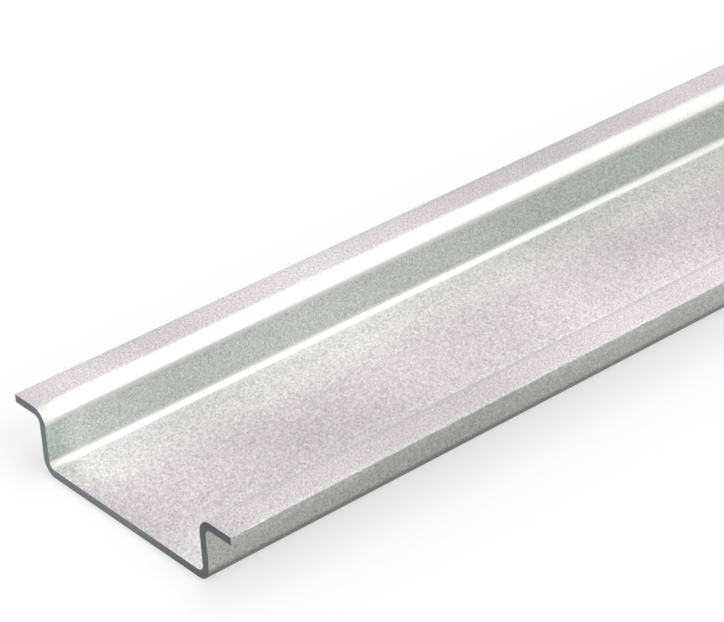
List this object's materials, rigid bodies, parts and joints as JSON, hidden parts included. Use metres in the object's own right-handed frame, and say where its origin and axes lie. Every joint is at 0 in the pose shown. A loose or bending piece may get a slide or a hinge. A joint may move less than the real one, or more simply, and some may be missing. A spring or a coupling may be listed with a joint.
{
  "type": "din rail",
  "caption": "Straight unperforated top-hat mounting rail, roll-formed from galvanised steel strip, with two outward lips that clip-on electrical devices hook onto.",
  "frame": {"origin": "centre of the back face, which is the underside of the rail as it lies with its channel open upwards: mid-length, on the centre line, at the lowest surface", "axes": "+X along the rail, +Y across it towards one lip, +Z out of the back face towards the lips and the devices clipped on them"},
  "size_m": [1, 0.035, 0.0075],
  "materials": {
    "zinc": "satin"
  },
  "bodies": {
    "root": {"rail": "zinc"}
  },
  "joints": []
}
